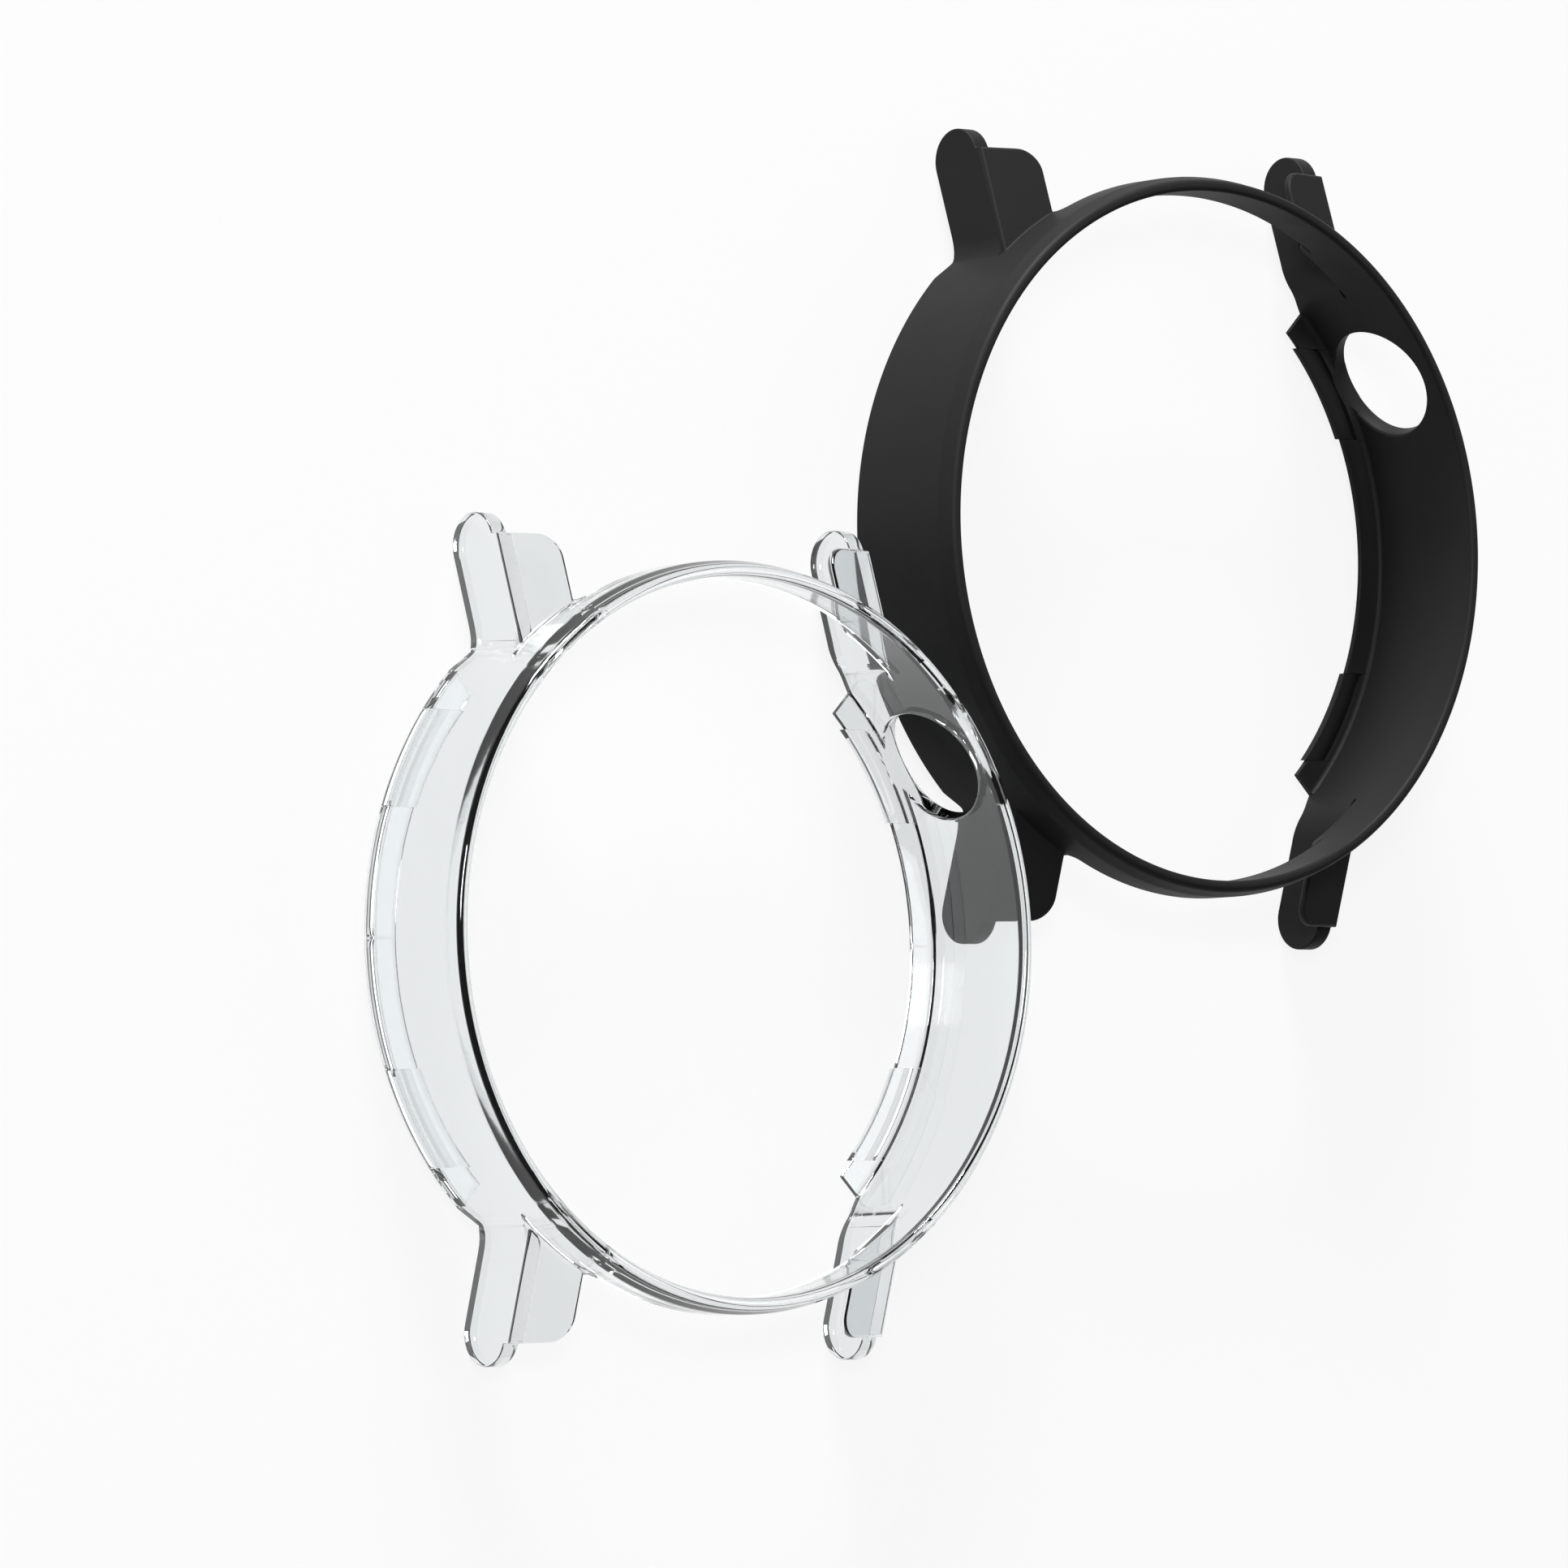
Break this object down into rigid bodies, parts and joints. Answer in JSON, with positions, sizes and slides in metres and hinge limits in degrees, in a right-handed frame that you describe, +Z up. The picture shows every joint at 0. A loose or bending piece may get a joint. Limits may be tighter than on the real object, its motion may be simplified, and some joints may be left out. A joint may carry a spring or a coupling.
{
  "type": "smartwatch bumper case",
  "caption": "Pair of round bumper cases that snap over a smartwatch, clear and black: open wall, covers over the lugs, crown hole, rear ledge and hooks.",
  "frame": {"origin": "centre of the pair's footprint, on the surface that the cases lie on", "axes": "+Z up, out of the watch face side of both cases; +Y towards 12 o'clock; +X towards 3 o'clock, the crown side"},
  "size_m": [0.0892, 0.0814, 0.0108],
  "materials": {
    "clear_plastic": "clear, polished",
    "black_plastic": "black, satin moulded"
  },
  "bodies": {
    "root": {"clear_case": "clear_plastic", "black_case": "black_plastic"}
  },
  "joints": []
}
